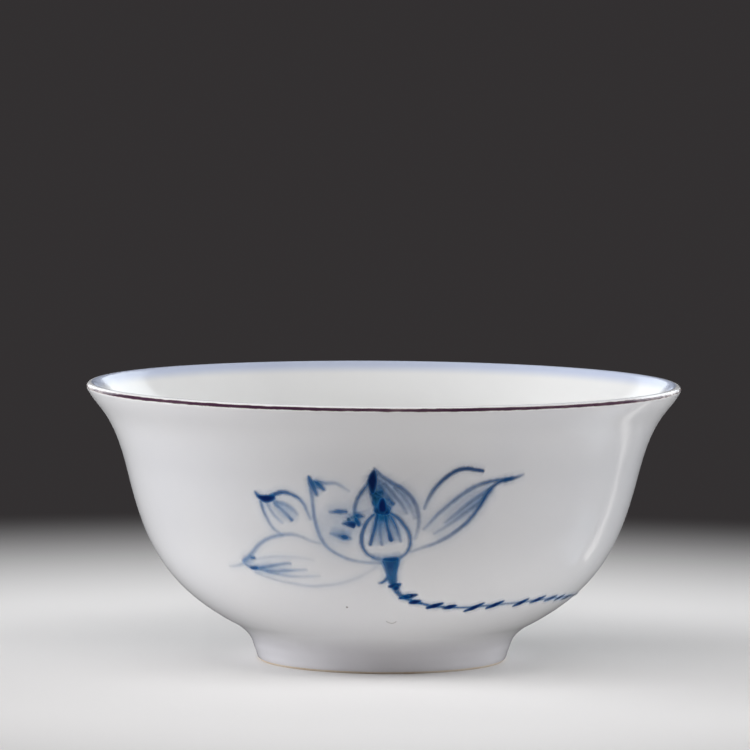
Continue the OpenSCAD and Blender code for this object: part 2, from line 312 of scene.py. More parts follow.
def bump(tree, height, distance, after=None):
    inputs = {"Height": height, "Distance": distance, "Strength": 1.0}
    if after is not None:
        inputs["Normal"] = after
    return add(tree, "ShaderNodeBump", inputs).outputs["Normal"]


def glaze_material(name, dull, clear, painted_light):
    """Cool white glazed porcelain: a cloudy white between two colours, multiplied by painted
    light and shade given as heights in mm and colours, and a fine orange-peel surface."""
    material, tree, shader = new_material(name)
    place = add(tree, "ShaderNodeTexCoord").outputs["Object"]
    height = add(tree, "ShaderNodeSeparateXYZ", {"Vector": place}).outputs["Z"]
    clouds = ramp(tree, noise(tree, place, 45.0, 4.0), [(0.3, dull), (0.7, clear)], True)
    # Painted shade and light by height, multiplied into the white
    share = maths(tree, "DIVIDE", height, BOWL_H * MM)
    painted_light_tint = ramp(tree, share, [(z / BOWL_H, colour) for z, colour in painted_light], True)
    white = add(tree, "ShaderNodeMix", {"Factor": 1.0, "A": clouds, "B": painted_light_tint}, data_type="RGBA",
                blend_type="MULTIPLY").outputs["Result"]
    tree.links.new(white, shader.inputs["Base Color"])
    mist = noise(tree, place, 260.0, 3.0)
    rough = add(tree, "ShaderNodeMapRange", {"Value": mist, "To Min": 0.10, "To Max": 0.17})
    tree.links.new(rough.outputs["Result"], shader.inputs["Roughness"])
    peel = bump(tree, noise(tree, place, PEEL_SCALE, 2.0), PEEL_HEIGHT)
    rings = noise(tree, stretched(tree, place, (8.0, 8.0, 700.0)), 1.0, 2.0)
    tree.links.new(bump(tree, rings, 0.000006, peel), shader.inputs["Normal"])
    shader.inputs["IOR"].default_value = 1.5
    return material


def clay_material():
    """Bare fired porcelain: matt, fine-grained, flashed tan at the edge of the glaze."""
    material, tree, shader = new_material("bare_porcelain")
    place = add(tree, "ShaderNodeTexCoord").outputs["Object"]
    grain = noise(tree, place, 1800.0, 6.0, 0.7)
    patches = noise(tree, place, 190.0, 3.0)
    mixed = maths(tree, "ADD", maths(tree, "MULTIPLY", grain, 0.35), maths(tree, "MULTIPLY", patches, 0.65))
    tan = ramp(tree, mixed, [(0.32, (0.54, 0.40, 0.28)), (0.5, (0.66, 0.56, 0.45)),
                             (0.68, (0.74, 0.69, 0.62))], True)
    tree.links.new(tan, shader.inputs["Base Color"])
    rough = add(tree, "ShaderNodeMapRange", {"Value": grain, "To Min": 0.55, "To Max": 0.85})
    tree.links.new(rough.outputs["Result"], shader.inputs["Roughness"])
    tree.links.new(bump(tree, grain, 0.00003), shader.inputs["Normal"])
    return material


def ink_material(name, colours, depth, waver, streak):
    """Ceramic colour under gloss, seen through its own soft edges. A mesh carries "brush": mm
    along, mm across and a seed for each stroke, and "reach": how far in from the edge and from
    the ends, as shares of their fade, and the optical depth of the colour."""
    material, tree, shader = new_material(name)
    brush = add(tree, "ShaderNodeAttribute", attribute_name="brush").outputs["Vector"]
    reach = add(tree, "ShaderNodeAttribute", attribute_name="reach").outputs["Vector"]
    split = add(tree, "ShaderNodeSeparateXYZ", {"Vector": reach})
    drift = maths(tree, "SUBTRACT", noise(tree, brush, 1.8, 3.0, 0.6), 0.5)
    inward = maths(tree, "ADD", split.outputs["X"], maths(tree, "MULTIPLY", drift, waver))
    core = add(tree, "ShaderNodeMapRange", {"Value": inward}, clamp=True,
               interpolation_type="SMOOTHSTEP").outputs["Result"]
    bleed = add(tree, "ShaderNodeMapRange", {"Value": split.outputs["X"], "From Min": -HALO_SHARE,
                                             "To Max": 0.15}, clamp=True,
                interpolation_type="SMOOTHSTEP").outputs["Result"]
    ends = add(tree, "ShaderNodeMapRange", {"Value": split.outputs["Y"]}, clamp=True,
               interpolation_type="SMOOTHSTEP").outputs["Result"]
    hairs = noise(tree, stretched(tree, brush, (0.3, 4.5, 1.0)), 1.0, 3.0, 0.6)
    uneven = maths(tree, "ADD", maths(tree, "MULTIPLY", maths(tree, "SUBTRACT", hairs, 0.5), streak), 1.0)
    painted = maths(tree, "MULTIPLY", core, split.outputs["Z"])
    spread = maths(tree, "MULTIPLY", bleed, maths(tree, "POWER", split.outputs["Z"], 0.5))
    cover = maths(tree, "MULTIPLY", maths(tree, "ADD", painted, spread), ends)
    ink = maths(tree, "MULTIPLY", cover, uneven)
    colour = ramp(tree, maths(tree, "DIVIDE", ink, depth, clamp=True), colours)
    tree.links.new(colour, shader.inputs["Base Color"])
    through = maths(tree, "POWER", math.e, maths(tree, "MULTIPLY", ink, -1.0))
    tree.links.new(maths(tree, "SUBTRACT", 1.0, through, clamp=True), shader.inputs["Alpha"])
    place = add(tree, "ShaderNodeTexCoord").outputs["Object"]
    peel = noise(tree, place, PEEL_SCALE, 2.0)
    tree.links.new(bump(tree, peel, PEEL_HEIGHT), shader.inputs["Normal"])
    shader.inputs["Roughness"].default_value = 0.13
    shader.inputs["IOR"].default_value = 1.5
    return material


def filter_stops(deepest, thin, thick, white=0.8):
    """Colours that, laid over white at their own opacity, look like a filter of tinted glass.
    Red is absorbed in step with the optical depth, green and blue by shares of it that go from
    the thin pair to the thick pair."""
    stops = []
    for place in (0.0, 0.12, 0.25, 0.4, 0.6, 0.8, 1.0):
        depth = max(place * deepest, 0.01)
        cover = 1 - math.exp(-depth)
        shares = [0.985] + [a + (b - a) * place for a, b in zip(thin, thick)]
        level = [white * (math.exp(-share * depth) - math.exp(-depth)) / cover for share in shares]
        stops.append((place, tuple(level)))
    return stops


HALO_SHARE = 1.1
COBALT_DEPTH = 6.0

# Painted light and shade on the glaze, as colours to multiply by, at heights in mm: painted shade
# greys the foot and the middle of the wall outside, painted light brightens the lip outside a
# little, and a painted blue reflection lies just under the lip inside
UNTINTED = (1.0, 1.0, 1.0)
PAINTED_SHADE_GREY = (0.855, 0.855, 0.86)
OUTER_PAINTED_SHADE_AND_LIGHT = [(2.6, (0.77, 0.76, 0.78)), (5.5, UNTINTED), (11, UNTINTED), (21, PAINTED_SHADE_GREY),
               (27, PAINTED_SHADE_GREY), (34, UNTINTED), (36, (1.02, 1.02, 1.02))]
INNER_PAINTED_REFLECTION = [(35.6, UNTINTED), (37, (0.65, 0.715, 0.90))]
GLAZE = glaze_material("white_glaze", (0.83, 0.83, 0.845), (0.86, 0.857, 0.86), OUTER_PAINTED_SHADE_AND_LIGHT)
# The inside glaze is a slightly darker, warmer copy of the outside white: painted shade
INNER_GLAZE_PAINTED_SHADE = glaze_material("white_glaze_inside_painted_shade", (0.80, 0.80, 0.79), (0.83, 0.83, 0.815), INNER_PAINTED_REFLECTION)
CLAY = clay_material()
COBALT = ink_material("cobalt_blue", filter_stops(COBALT_DEPTH, (0.79, 0.51), (0.67, 0.35)),
                      COBALT_DEPTH, 0.35, 0.45)
SMOKY_COBALT = ink_material("smoky_cobalt_blue", filter_stops(COBALT_DEPTH, (0.85, 0.62), (0.70, 0.40)),
                            COBALT_DEPTH, 0.35, 0.45)
BROWN = ink_material("iron_brown", [(0.0, (0.50, 0.34, 0.22)), (0.25, (0.24, 0.13, 0.10)),
                                    (0.6, (0.085, 0.03, 0.055)), (1.0, (0.05, 0.016, 0.04))],
                     4.0, 0.5, 0.7)


# ---------------------------------------------------------------- clay and glaze


def clay_outline():
    mouth = FOOT_R - REST_W - EDGE
    well = inset(WELL[::-1], GLAZE_T)
    base = [WELL[0], (mouth, EDGE), (mouth + EDGE, 0), (FOOT_R, 0), foot_low, glaze_edge]
    skin = np.vstack([OUTER, INNER[1:]])
    return np.vstack([well[:-1], base, inset(skin, GLAZE_T)[::2]])


def make_clay():
    clay = lathe("bare_porcelain_body", clay_outline(), CLAY, 256)
    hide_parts("porcelain_body")


def make_glaze():
    for name, outline, bead, material, node in (
        ("outer_glaze_coat", OUTER, 0.05, GLAZE, "outer_glaze"),
        ("inner_glaze_coat", INNER, 0.0, INNER_GLAZE_PAINTED_SHADE, "inner_glaze"),
        ("foot_well_glaze_coat", WELL, 0.04, GLAZE, "foot_well_glaze"),
    ):
        coat = lathe(name, coat_outline(outline, GLAZE_T, bead), material)
        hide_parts(node)


def make_rim_line():
    """Band painted freehand on the outer shoulder of the lip, with edges that wander. Near both sides,
    about 90 degrees from the front, it is narrower, thinner and broken: partly a brush running out of
    paint, partly painted highlight where the glossy lip catches the light."""
    steps, across = 1200, 10
    rng = np.random.default_rng(SEED)
    turn = np.arange(steps) * 2 * math.pi / steps

    def wander(size, waves):
        total = sum(rng.normal() * np.sin(k * turn + rng.uniform(0, 2 * math.pi)) / k**0.5 for k in waves)
        return size * total / np.abs(total).max()

    def dry_and_highlit_at(middle, width):
        away = (turn - math.radians(middle) + math.pi) % (2 * math.pi) - math.pi
        return np.exp(-(away / math.radians(width)) ** 4)

    # Edges of the band in degrees around the lip's own circle, then the optical depth
    # Narrower, thinner and broken near 90 degrees either side of the front: partly a brush running out of
    # paint, partly painted highlight
    dry_and_highlit = np.maximum(dry_and_highlit_at(85, 26), dry_and_highlit_at(-90, 24))
    low = -8 + 6 * dry_and_highlit + wander(4, range(3, 60)) + wander(2.5, range(60, 160, 3))
    high = 42 - 8 * dry_and_highlit + wander(4, range(2, 60)) + wander(2.5, range(60, 160, 3))
    depth = 3.8 + wander(1.2, range(1, 40)) + wander(0.8, range(40, 200, 5))
    broken = np.clip(0.55 + wander(1.3, range(30, 220, 3)), 0.05, 1)
    depth *= 1 - dry_and_highlit * (1 - 0.75 * broken)
    share = np.linspace(0, 1, across + 1)
    angle = np.radians(low[:, None] + (high - low)[:, None] * share[None, :])
    span = np.radians(high - low)[:, None] * LIP_R
    along = np.broadcast_to((turn * RIM_R)[:, None], angle.shape)
    from_edge = np.minimum(share, 1 - share)[None, :] * span / RIM_FADE
    top = 0.006 + 0.016 * np.sin(share * math.pi)[None, :] + 0 * angle

    def shell(lift):
        r = lip_centre[0] + (LIP_R + lift) * np.cos(angle)
        z = lip_centre[1] + (LIP_R + lift) * np.sin(angle)
        return spun(r, z, turn[:, None] + 0 * angle)

    brush = np.stack([along, share[None, :] * span, np.full(angle.shape, 3.0)], -1)
    reach = np.stack([from_edge, np.full(angle.shape, 9.0), np.broadcast_to(depth[:, None], angle.shape)], -1)
    strip("rim_line_paint", shell(top), shell(-0.012 + 0 * angle), brush, reach, BROWN,
          "rim_line", ring=True)


def strip_faces(rows, columns, start, ring):
    """Faces of a thin closed strip. Its top grid starts at start and its underside follows."""
    size = rows * columns

    def top(i, j):
        return start + (i % rows) * columns + j

    def low(i, j):
        return top(i, j) + size

    faces = []
    for i in range(rows if ring else rows - 1):
        for j in range(columns - 1):
            faces.append((top(i, j), top(i + 1, j), top(i + 1, j + 1), top(i, j + 1)))
            faces.append((low(i, j), low(i, j + 1), low(i + 1, j + 1), low(i + 1, j)))
        for j in (0, columns - 1):
            faces.append((top(i, j), low(i, j), low(i + 1, j), top(i + 1, j)))
    if not ring:
        for i in (0, rows - 1):
            for j in range(columns - 1):
                faces.append((top(i, j), top(i, j + 1), low(i, j + 1), low(i, j)))
    return faces


def strip(name, upper, lower, brush, reach, material, node, ring):
    grid = upper.shape[:2]
    vertices = np.vstack([upper.reshape(-1, 3), lower.reshape(-1, 3)])
    doubled = {"brush": np.vstack([brush.reshape(-1, 3)] * 2), "reach": np.vstack([reach.reshape(-1, 3)] * 2)}
    piece = finished(name, vertices, strip_faces(*grid, 0, ring), material, doubled)
    painted_on(piece, node)


def painted_on(piece, node):
    """Paint lies in the glaze, so it throws no shadow and no bounced light on it."""
    piece.visible_shadow = False
    piece.visible_diffuse = False
    if node:
        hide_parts(node)


# ---------------------------------------------------------------- brushwork

# Strokes of each painted group: widths in mm and optical depths at the start, middle and end,
# then the path as degrees around the bowl from its front and height in mm.
WASHES = {
    "left_petal": [
        ((0.8, 2.2, 1.0), (0.35, 0.30, 0.05), [(-24.5, 24.2), (-21.6, 23), (-18.8, 21.8)]),
    ],
    "tall_petal": [
        ((0.3, 0.9, 0.5), (0.6, 0.9, 0.3), [(-15.4, 27.3), (-14.2, 26.6), (-12.6, 26.2)]),
    ],
    "back_petal": [
        ((1.2, 3.2, 2.2), (0.7, 0.30, 0.05), [(-0.8, 27.6), (2, 25.6), (5, 23)]),
        ((0.8, 1.6, 1.2), (2.2, 0.9, 0.2), [(-2, 28.5), (-1.4, 27.2), (0.6, 26.2)]),
        ((1.0, 1.8, 1.4), (0.4, 0.22, 0.08), [(-3, 26.4), (-3.7, 24.8), (-3.8, 22.8)]),
        ((0.8, 1.4, 0.8), (0.3, 0.6, 0.4), [(-1.6, 24.8), (0, 25), (1.6, 24.6)]),
    ],
    "right_petal": [
        ((0.8, 2.6, 1.6), (0.36, 0.22, 0.03), [(24.5, 26.6), (19.5, 24.8), (14, 22)]),
        ((0.7, 1.2, 0.8), (0.3, 0.12, 0.02), [(24, 26), (20.6, 24), (16.4, 22)]),
    ],
    "long_petal": [
        ((0.5, 1.2, 0.8), (0.9, 0.6, 0.3), [(-35.4, 15.9), (-34, 16), (-32.4, 16.3)]),
        ((0.6, 2.0, 0.8), (0.5, 0.25, 0.02), [(-33, 15), (-28, 15.2), (-22, 15)]),
    ],
    "lotus_bud": [
        ((1.4, 3.6, 3.0), (1.3, 0.5, 0.12), [(0, 22.8), (0.4, 21), (0.9, 18.8)]),
        ((0.8, 1.3, 0.8), (1.8, 3.6, 1.8), [(-1.9, 23.6), (0, 23.9), (1.8, 23.4)]),
        ((0.8, 1.2, 0.8), (0.3, 0.5, 0.4), [(-2.6, 17.4), (1, 17), (4.6, 17.6)]),
    ],
    "stamens": [
        ((0.6, 1.3, 0.9), (0.3, 0.8, 0.5), [(-8.2, 22.2), (-6.6, 22.4), (-4.8, 22.6)]),
        ((0.4, 0.8, 0.6), (0.3, 0.5, 0.2), [(-11.6, 20.9), (-9, 20.5), (-6.8, 20.3)]),
    ],
    "stem": [
        ((2.1, 1.25, 0.8), (3.8, 2.6, 2.8), [(2.1, 17.1), (2.2, 15.8), (2.4, 14.6), (2.7, 13.5)]),
    ],
}

# Wide, faint breath of colour in the glaze around three petals, in the same form
HAZES = {
    "tall_petal": [
        ((4.0, 6.5, 4.5), (0.12, 0.20, 0.16), [(-14, 23), (-9.5, 21.8), (-5, 21)]),
    ],
    "back_petal": [
        ((4.0, 8.0, 6.0), (0.14, 0.16, 0.14), [(-0.4, 25.6), (1, 24), (1.4, 20)]),
    ],
    "right_petal": [
        ((2.0, 4.0, 3.0), (0.10, 0.16, 0.14), [(22, 25.2), (17, 23.4), (10, 20.6)]),
    ],
}

# Drawn lines and dabs, in the same form. Their widths are scaled by THINNER.
LINES = {
    "left_petal": [
        ((0.35, 0.35, 0.25), (1.0, 0.8, 0.3), [(-26.2, 24.3), (-25.2, 23), (-23.8, 22), (-22.6, 21.4)]),
        ((0.40, 0.55, 0.40), (0.9, 0.7, 0.4), [(-24.2, 24.3), (-22, 24), (-20.2, 23.4), (-18.9, 22.6)]),
        ((0.30, 0.30, 0.32), (1.1, 1.0, 2.4), [(-24.5, 24.2), (-22.6, 23.2), (-21.2, 22.4), (-20.3, 21.8)]),
        ((0.45, 0.35, 0.25), (1.6, 1.0, 0.4), [(-27.6, 24.4), (-27.2, 23.1), (-26.4, 21.8), (-25.4, 20.8),
                                              (-24.2, 20.2), (-22.9, 19.8)]),
        ((0.55, 0.45, 0.20), (3.6, 1.8, 0.7), [(-25.3, 24.8), (-23.4, 25.4), (-21.6, 25.6), (-19.8, 25.3),
                                              (-18.3, 24.8), (-17.3, 24), (-16.7, 23.1), (-16, 22)]),
        ((0.10, 0.35, 0.50), (1.8, 2.8, 4.0), [(-28.8, 25.6), (-28.4, 25.2), (-27.9, 24.8)]),
        ((0.30, 1.00, 0.60), (4.0, 7.5, 3.5), [(-28.2, 24.9), (-26.2, 24.6), (-23.9, 24.9)]),
    ],
    "tall_petal": [
        ((0.35, 0.40, 0.30), (1.6, 1.05, 0.45), [(-15.9, 27.6), (-15.5, 26), (-15.3, 24), (-15.2, 22.5),
                                                (-14.7, 20.9), (-13.8, 19.4), (-12.4, 18.3), (-10, 17.4),
                                                (-7.3, 16.8), (-4, 16.5), (-1, 16.4), (0.8, 16.5)]),
        ((0.45, 0.30, 0.15), (1.5, 0.8, 0.3), [(-14.4, 27.2), (-12.2, 27), (-10, 27), (-8.2, 26.4),
                                               (-6.9, 25.9)]),
        ((0.10, 0.70, 0.50), (2.2, 2.6, 1.5), [(-15.9, 28), (-15.2, 26.9), (-14.2, 25.2)]),
        ((0.20, 0.60, 0.35), (1.8, 2.4, 1.8), [(-14.8, 27.3), (-13.7, 26.8), (-12.4, 26)]),
    ],
    "back_petal": [
        ((0.45, 0.60, 0.40), (0.7, 0.6, 0.3), [(2.2, 26.7), (4.4, 25.4), (6.2, 23.8), (7.2, 22.3)]),
        ((0.40, 0.40, 0.30), (1.2, 1.0, 0.6), [(0.2, 27.2), (2.2, 25.7), (4, 24.4), (5.4, 23)]),
        ((0.38, 0.36, 0.32), (1.8, 1.2, 0.8), [(-1.7, 26.8), (-1, 25.6), (-0.3, 24.6)]),
        ((0.42, 0.40, 0.34), (2.2, 1.4, 0.8), [(-2.4, 26.6), (-2.3, 25.3), (-1.8, 24)]),
        ((0.40, 0.40, 0.50), (1.6, 1.3, 3.2), [(-0.9, 26.9), (0.8, 25.5), (2.4, 24.2)]),
        ((0.25, 0.50, 0.35), (2.2, 1.5, 0.55), [(-1.9, 29.2), (0, 28), (2.2, 27.1), (4.2, 26.4), (5.9, 25.4),
                                              (7.1, 24.3), (7.8, 23), (8, 21.8), (7.8, 20.7), (7.2, 19.6)]),
        ((0.45, 0.35, 0.30), (2.6, 2.0, 1.6), [(-2.7, 27.3), (-3.8, 26.5), (-4.9, 25.6), (-5.7, 24.6),
                                              (-6.1, 23.5), (-5.7, 22.3), (-5, 21.4)]),
        ((0.20, 1.15, 0.40), (3.8, 8.0, 3.0), [(-1.8, 28.9), (-2.2, 27.4), (-2.2, 25.7)]),
    ],
    "right_petal": [
        ((0.45, 0.45, 0.30), (1.4, 1.2, 0.45), [(24, 26.3), (22, 25.6), (20, 24.8), (17.8, 23.8),
                                                (15.6, 22.7),
                                              (13.6, 21.7)]),
        ((0.40, 0.38, 0.28), (1.4, 0.9, 0.3), [(22.8, 25.2), (20.8, 24.2), (18.4, 23.2), (15.8, 22),
                                               (13, 20.9),
                                              (11.4, 20.3)]),
        ((0.45, 0.40, 0.30), (2.2, 1.7, 0.6), [(27, 27.4), (24.4, 27.3), (22, 27), (20, 26.6), (18, 25.9),
                                               (16, 25), (14, 24), (12, 22.9), (10.4, 21.8), (9, 20.9)]),
        ((0.35, 0.50, 0.30), (3.2, 2.0, 0.4), [(28.6, 27.6), (26.6, 27.3), (25, 26.9), (23.7, 26.2),
                                               (22.7, 25.3),
                                              (21.9, 24.3), (20.8, 23.2), (19.5, 22.2), (18, 21.3),
                                              (16, 20.4),
                                              (14, 19.7), (12, 19.1), (10, 18.7), (8, 18.3), (6.3, 17.9)]),
        ((0.10, 0.35, 0.50), (0.6, 2.8, 3.6), [(31.4, 28), (28.8, 27.5), (26.4, 27.3)]),
    ],
    "long_petal": [
        ((0.25, 0.35, 0.25), (0.25, 0.28, 0.08), [(-31.6, 16.3), (-29, 16.6), (-25, 16.9), (-20, 16.9),
                                                  (-16, 16.6)]),
        ((0.30, 0.45, 0.40), (0.35, 0.28, 0.14), [(-33, 14.5), (-30, 14), (-26.4, 13.5), (-22.4, 13.2),
                                                  (-18, 13),
                                                 (-14, 13.2), (-10, 13.6), (-6, 14.4), (-3, 15.3), (-1, 16)]),
        ((0.35, 0.35, 0.30), (0.8, 0.6, 0.2), [(-31.4, 15), (-28, 14.6), (-24, 14.3), (-20, 14.3),
                                               (-15, 14.5)]),
        ((0.30, 0.35, 0.25), (0.8, 0.9, 0.35), [(-29.6, 14.8), (-26, 14.9), (-22, 15.1), (-18.2, 15.3)]),
        ((0.35, 0.35, 0.25), (1.7, 1.1, 0.8), [(-32, 15.1), (-29.4, 15.3), (-26.4, 15.7), (-23.6, 16),
                                               (-22, 16)]),
        ((0.10, 0.30, 0.60), (0.25, 0.45, 0.6), [(-40.5, 15), (-37.8, 15.2), (-35.2, 15.7)]),
        ((0.40, 0.45, 0.30), (1.3, 0.9, 0.25), [(-35.6, 15.9), (-33.6, 16.5), (-31.6, 17.4), (-29.6, 18.4),
                                               (-27.6, 19.1), (-25.4, 19.6), (-23, 19.9), (-20.6, 20),
                                               (-18.4, 19.7), (-16.2, 19.2), (-14, 18.9)]),
        ((0.40, 0.50, 0.35), (1.4, 2.4, 1.6), [(-33.2, 16.4), (-32.2, 16.5), (-31.4, 16.5)]),
        ((0.20, 0.30, 0.30), (0.8, 1.0, 1.4), [(-35.3, 15.8), (-34.7, 15.4), (-33.8, 15.1)]),
        ((0.30, 0.50, 0.35), (2.2, 3.4, 2.0), [(-34, 15.1), (-32.8, 15.1), (-31.4, 15.2)]),
    ],
    "arc_petal": [
        ((0.35, 0.50, 0.25), (4.2, 3.0, 0.9), [(21.6, 28.6), (20, 28.8), (18, 29), (16, 28.9), (14.2, 28.3),
                                               (12.6, 27.5), (11.2, 26.5), (10.1, 25.4), (9.4, 24.4),
                                               (9, 23.6)]),
    ],
    "lotus_bud": [
        ((0.35, 0.30, 0.28), (1.8, 1.0, 1.2), [(-0.4, 23.2), (-0.6, 21.4), (-0.4, 20), (-0.1, 18.8)]),
        ((0.50, 0.36, 0.30), (2.4, 1.6, 1.2), [(1.5, 23), (2.6, 21.9), (3.3, 20.8), (4.2, 19.3)]),
        ((0.42, 0.40, 0.52), (2.8, 2.3, 4.4), [(0.5, 23.1), (1, 21.5), (1.6, 20.3), (2.1, 19.4)]),
        ((0.50, 0.40, 0.45), (3.0, 2.4, 3.2), [(-1.1, 23.2), (-1.6, 21.5), (-2.2, 20.2), (-2.8, 18.8)]),
        ((0.42, 0.40, 0.32), (2.7, 2.5, 1.5), [(-1.7, 23.1), (-3, 22.3), (-4, 21.3), (-4.6, 20.2),
                                              (-4.7, 19.2), (-4.3, 18.4), (-3.4, 17.7), (-2, 17.2),
                                              (-0.4, 16.9)]),
        ((0.42, 0.40, 0.32), (2.4, 2.2, 1.3), [(1.7, 23.2), (3.3, 22.6), (4.8, 21.6), (5.9, 20.5),
                                               (6.3, 19.4),
                                              (6.1, 18.5), (5.4, 17.8), (4.4, 17.3), (3.4, 17)]),
        ((0.30, 1.40, 0.30), (3.5, 9.0, 3.2), [(-1.8, 23.4), (-0.1, 23.6), (1.6, 23.2)]),
        ((0.20, 0.80, 1.10), (4.0, 8.0, 8.0), [(-0.1, 25.2), (-0.1, 24.4), (0, 23.3)]),
    ],
    "stamens": [
        ((0.10, 0.60, 0.40), (0.8, 2.4, 1.9), [(-11.9, 23.2), (-9.6, 23.3), (-7.6, 23.3)]),
        ((0.15, 0.70, 0.15), (0.7, 1.3, 0.6), [(-11.9, 20.4), (-9, 19.9), (-6.7, 19.7)]),
        ((0.20, 0.70, 0.30), (1.5, 2.8, 1.2), [(-9.6, 20.1), (-8.5, 19.9), (-7.4, 19.8)]),
        ((0.50, 0.60, 0.15), (2.6, 2.6, 1.0), [(-6, 22.8), (-5, 22.8), (-3.8, 22.6)]),
        ((0.35, 0.60, 0.35), (2.2, 3.2, 2.5), [(-6, 22.6), (-5.6, 22), (-5.1, 21.4)]),
        ((0.15, 0.75, 1.05), (1.5, 3.4, 5.0), [(-9, 21.7), (-7.4, 21.7), (-6, 21.5)]),
    ],
    "stem": [
        ((0.25, 0.28, 0.10), (1.3, 1.0, 0.2), [(57, 10.2), (66, 10), (75, 9.7), (84, 9.4), (94, 9.2),
                                               (104, 9.1),
                                              (114, 9.1)]),
        ((0.40, 0.28, 0.25), (2.8, 2.0, 1.3), [(10, 10.9), (12, 10.6), (15, 10.3), (19, 10.1), (24, 10),
                                               (30, 10.1),
                                              (36, 10.2), (42, 10.2), (50, 10.3), (57, 10.2)]),
        ((0.80, 0.60, 0.45), (2.2, 2.4, 2.6), [(2.7, 13.5), (3.6, 12.7), (4.8, 12), (6.6, 11.5), (8.6, 11.1),
                                              (10.6, 10.8)]),
        ((0.30, 0.25, 0.10), (2.4, 3.2, 1.8), [(1.3, 14.6), (0.7, 14.1), (-0.1, 13.8), (-1, 13.7)]),
        ((0.30, 0.35, 0.30), (2.2, 1.0, 1.4), [(0, 17), (0.8, 15.8), (1.5, 14.8), (2.1, 13.6)]),
        ((0.30, 0.40, 0.35), (2.2, 1.0, 1.2), [(3.8, 17.1), (3.2, 16), (2.9, 14.9), (3, 13.8)]),
        ((0.35, 0.55, 0.40), (2.2, 3.6, 3.0), [(0, 17), (2, 17), (3.8, 17.1)]),
    ],
}

# Groups painted with a greyer cobalt
SMOKY = ("back_petal", "right_petal", "arc_petal")

# Slanted touches of the brush along the stem: angle, height, length in degrees, rise, depth
STEM_TOUCHES = [
    (1.5, 13.2, 3.3, 0.4, 6.5), (2.6, 12.9, 1.8, 0.3, 5.0), (4.3, 11.6, 4.9, 0.5, 7.5),
    (5.2, 11.9, 2.2, -0.3, 4.0),
    (7.1, 10.9, 3.3, 0.3, 7.0), (12.1, 10.1, 4.7, 0.7, 7.0), (17, 10, 3.8, 0.4, 7.0),
    (23.7, 9.4, 5.3, 1.2, 6.0),
    (30.3, 9.7, 4.9, 1.0, 6.0), (39.7, 9.7, 4.4, 1.0, 5.5), (45.7, 10, 5.2, 0.8, 4.6),
    (51.9, 10, 5.2, 0.6, 3.0),
    (57.7, 9.8, 4.1, 0.7, 2.6), (62.2, 9.7, 6, 0.4, 2.0),
]

# Iron specks under the glaze, low on the front
SPECKS = [
    ((0.12, 0.20, 0.12), (0.8, 1.6, 0.8), [(-9.8, 10.3), (-9.6, 10.2), (-9.4, 10.1)]),
    ((0.06, 0.10, 0.06), (0.6, 0.9, 0.6), [(1.2, 8.2), (2.4, 7.9), (3.6, 7.9), (4.4, 8.2)]),
]

# Width in mm of the faded edge of each kind of stroke, then the mesh steps along and across
SOFT_LINE = 0.66
SOFT_WASH = 1.1
SOFT_HAZE = 3.0
SOFT_SPECK = 0.12
STEP_MM = 0.16
COLUMN_MM = 0.35
THINNER = 0.80
END_STEP = 0.02


def touches():
    for angle, height, length, rise, depth in STEM_TOUCHES:
        path = [(angle, height), (angle + length / 2, height + 0.45 * rise), (angle + length, height + rise)]
        yield (0.10, 0.54, 0.12), (depth * 0.5, 1.3 * depth, depth * 0.4), path


def spline(path, share):
    """Points at shares 0 to 1 of the way along a smooth curve through the points of a path."""
    p = np.array(path, float)
    p = np.vstack([p[0], p, p[-1]])
    u = np.asarray(share) * (len(path) - 1)
    i = np.minimum(u.astype(int), len(path) - 2)
    t = (u - i)[:, None]
    a, b, c, d = p[i], p[i + 1], p[i + 2], p[i + 3]
    return 0.5 * (2 * b + (c - a) * t + (2 * a - 5 * b + 4 * c - d) * t**2 + (3 * b - a - 3 * c + d) * t**3)


def between(three, t):
    return np.interp(t, (0, 0.5, 1), three)


def stroke_grid(widths, depths, path, soft, order):
    """Grids of points and shading values for one stroke that hugs the outer wall."""
    rough = spline(path, np.linspace(0, 1, 60))
    radius, _, slant = wall_at(rough[:, 1])
    climb = 1 / np.sqrt(1 - slant**2)
    flat = np.stack([np.radians(rough[:, 0]) * radius, rough[:, 1] * climb], 1)
    length = np.linalg.norm(np.diff(flat, axis=0), axis=1).sum()
    over = soft * 0.5 / length
    rows = max(12, int((1 + 2 * over) * length / STEP_MM))
    run = np.linspace(-over, 1 + over, rows)
    t = np.clip(run, 0, 1)
    centre = spline(path, t)
    inside = np.clip(t, END_STEP, 1 - END_STEP)
    nudge = spline(path, inside) - spline(path, inside - END_STEP)
    centre += nudge * ((run - t) / END_STEP)[:, None]
    radius, _, slant = wall_at(centre[:, 1])
    climb = 1 / np.sqrt(1 - slant**2)
    way = np.gradient(centre, axis=0) * np.stack([np.pi * radius / 180, climb], 1)
    way /= np.linalg.norm(way, axis=1)[:, None]
    half = between(widths, t) / 2 * np.sqrt(1 - (0.985 * (2 * t - 1)) ** 6)
    reach_out = half + soft * (0.5 + HALO_SHARE)
    v = np.linspace(-1, 1, 2 * int(reach_out.max() / COLUMN_MM) + 5)
    off = reach_out[:, None] * v[None, :]
    angle = np.radians(centre[:, 0])[:, None] - off * way[:, 1:] / radius[:, None]
    height = centre[:, 1][:, None] + off * way[:, :1] / climb[:, None]
    along = np.broadcast_to((t * length)[:, None], off.shape)
    from_end = (np.minimum(run, 1 - run) + over)[:, None] * length / soft + 0 * off
    from_edge = 0.5 + (half[:, None] - np.abs(off)) / soft
    brush = np.stack([along, off, np.full(off.shape, order * 7.3)], -1)
    reach = np.stack([from_edge, from_end, between(depths, t)[:, None] + 0 * off], -1)

    def shell(lift):
        r, normal_r, normal_z = wall_at(height)
        return spun(r + lift * normal_r, height + lift * normal_z, angle)

    crown = 0.004 + 0.0016 * order + 0.004 * (1 - v**2)[None, :] + 0 * off
    return shell(crown), shell(-0.015), brush, reach


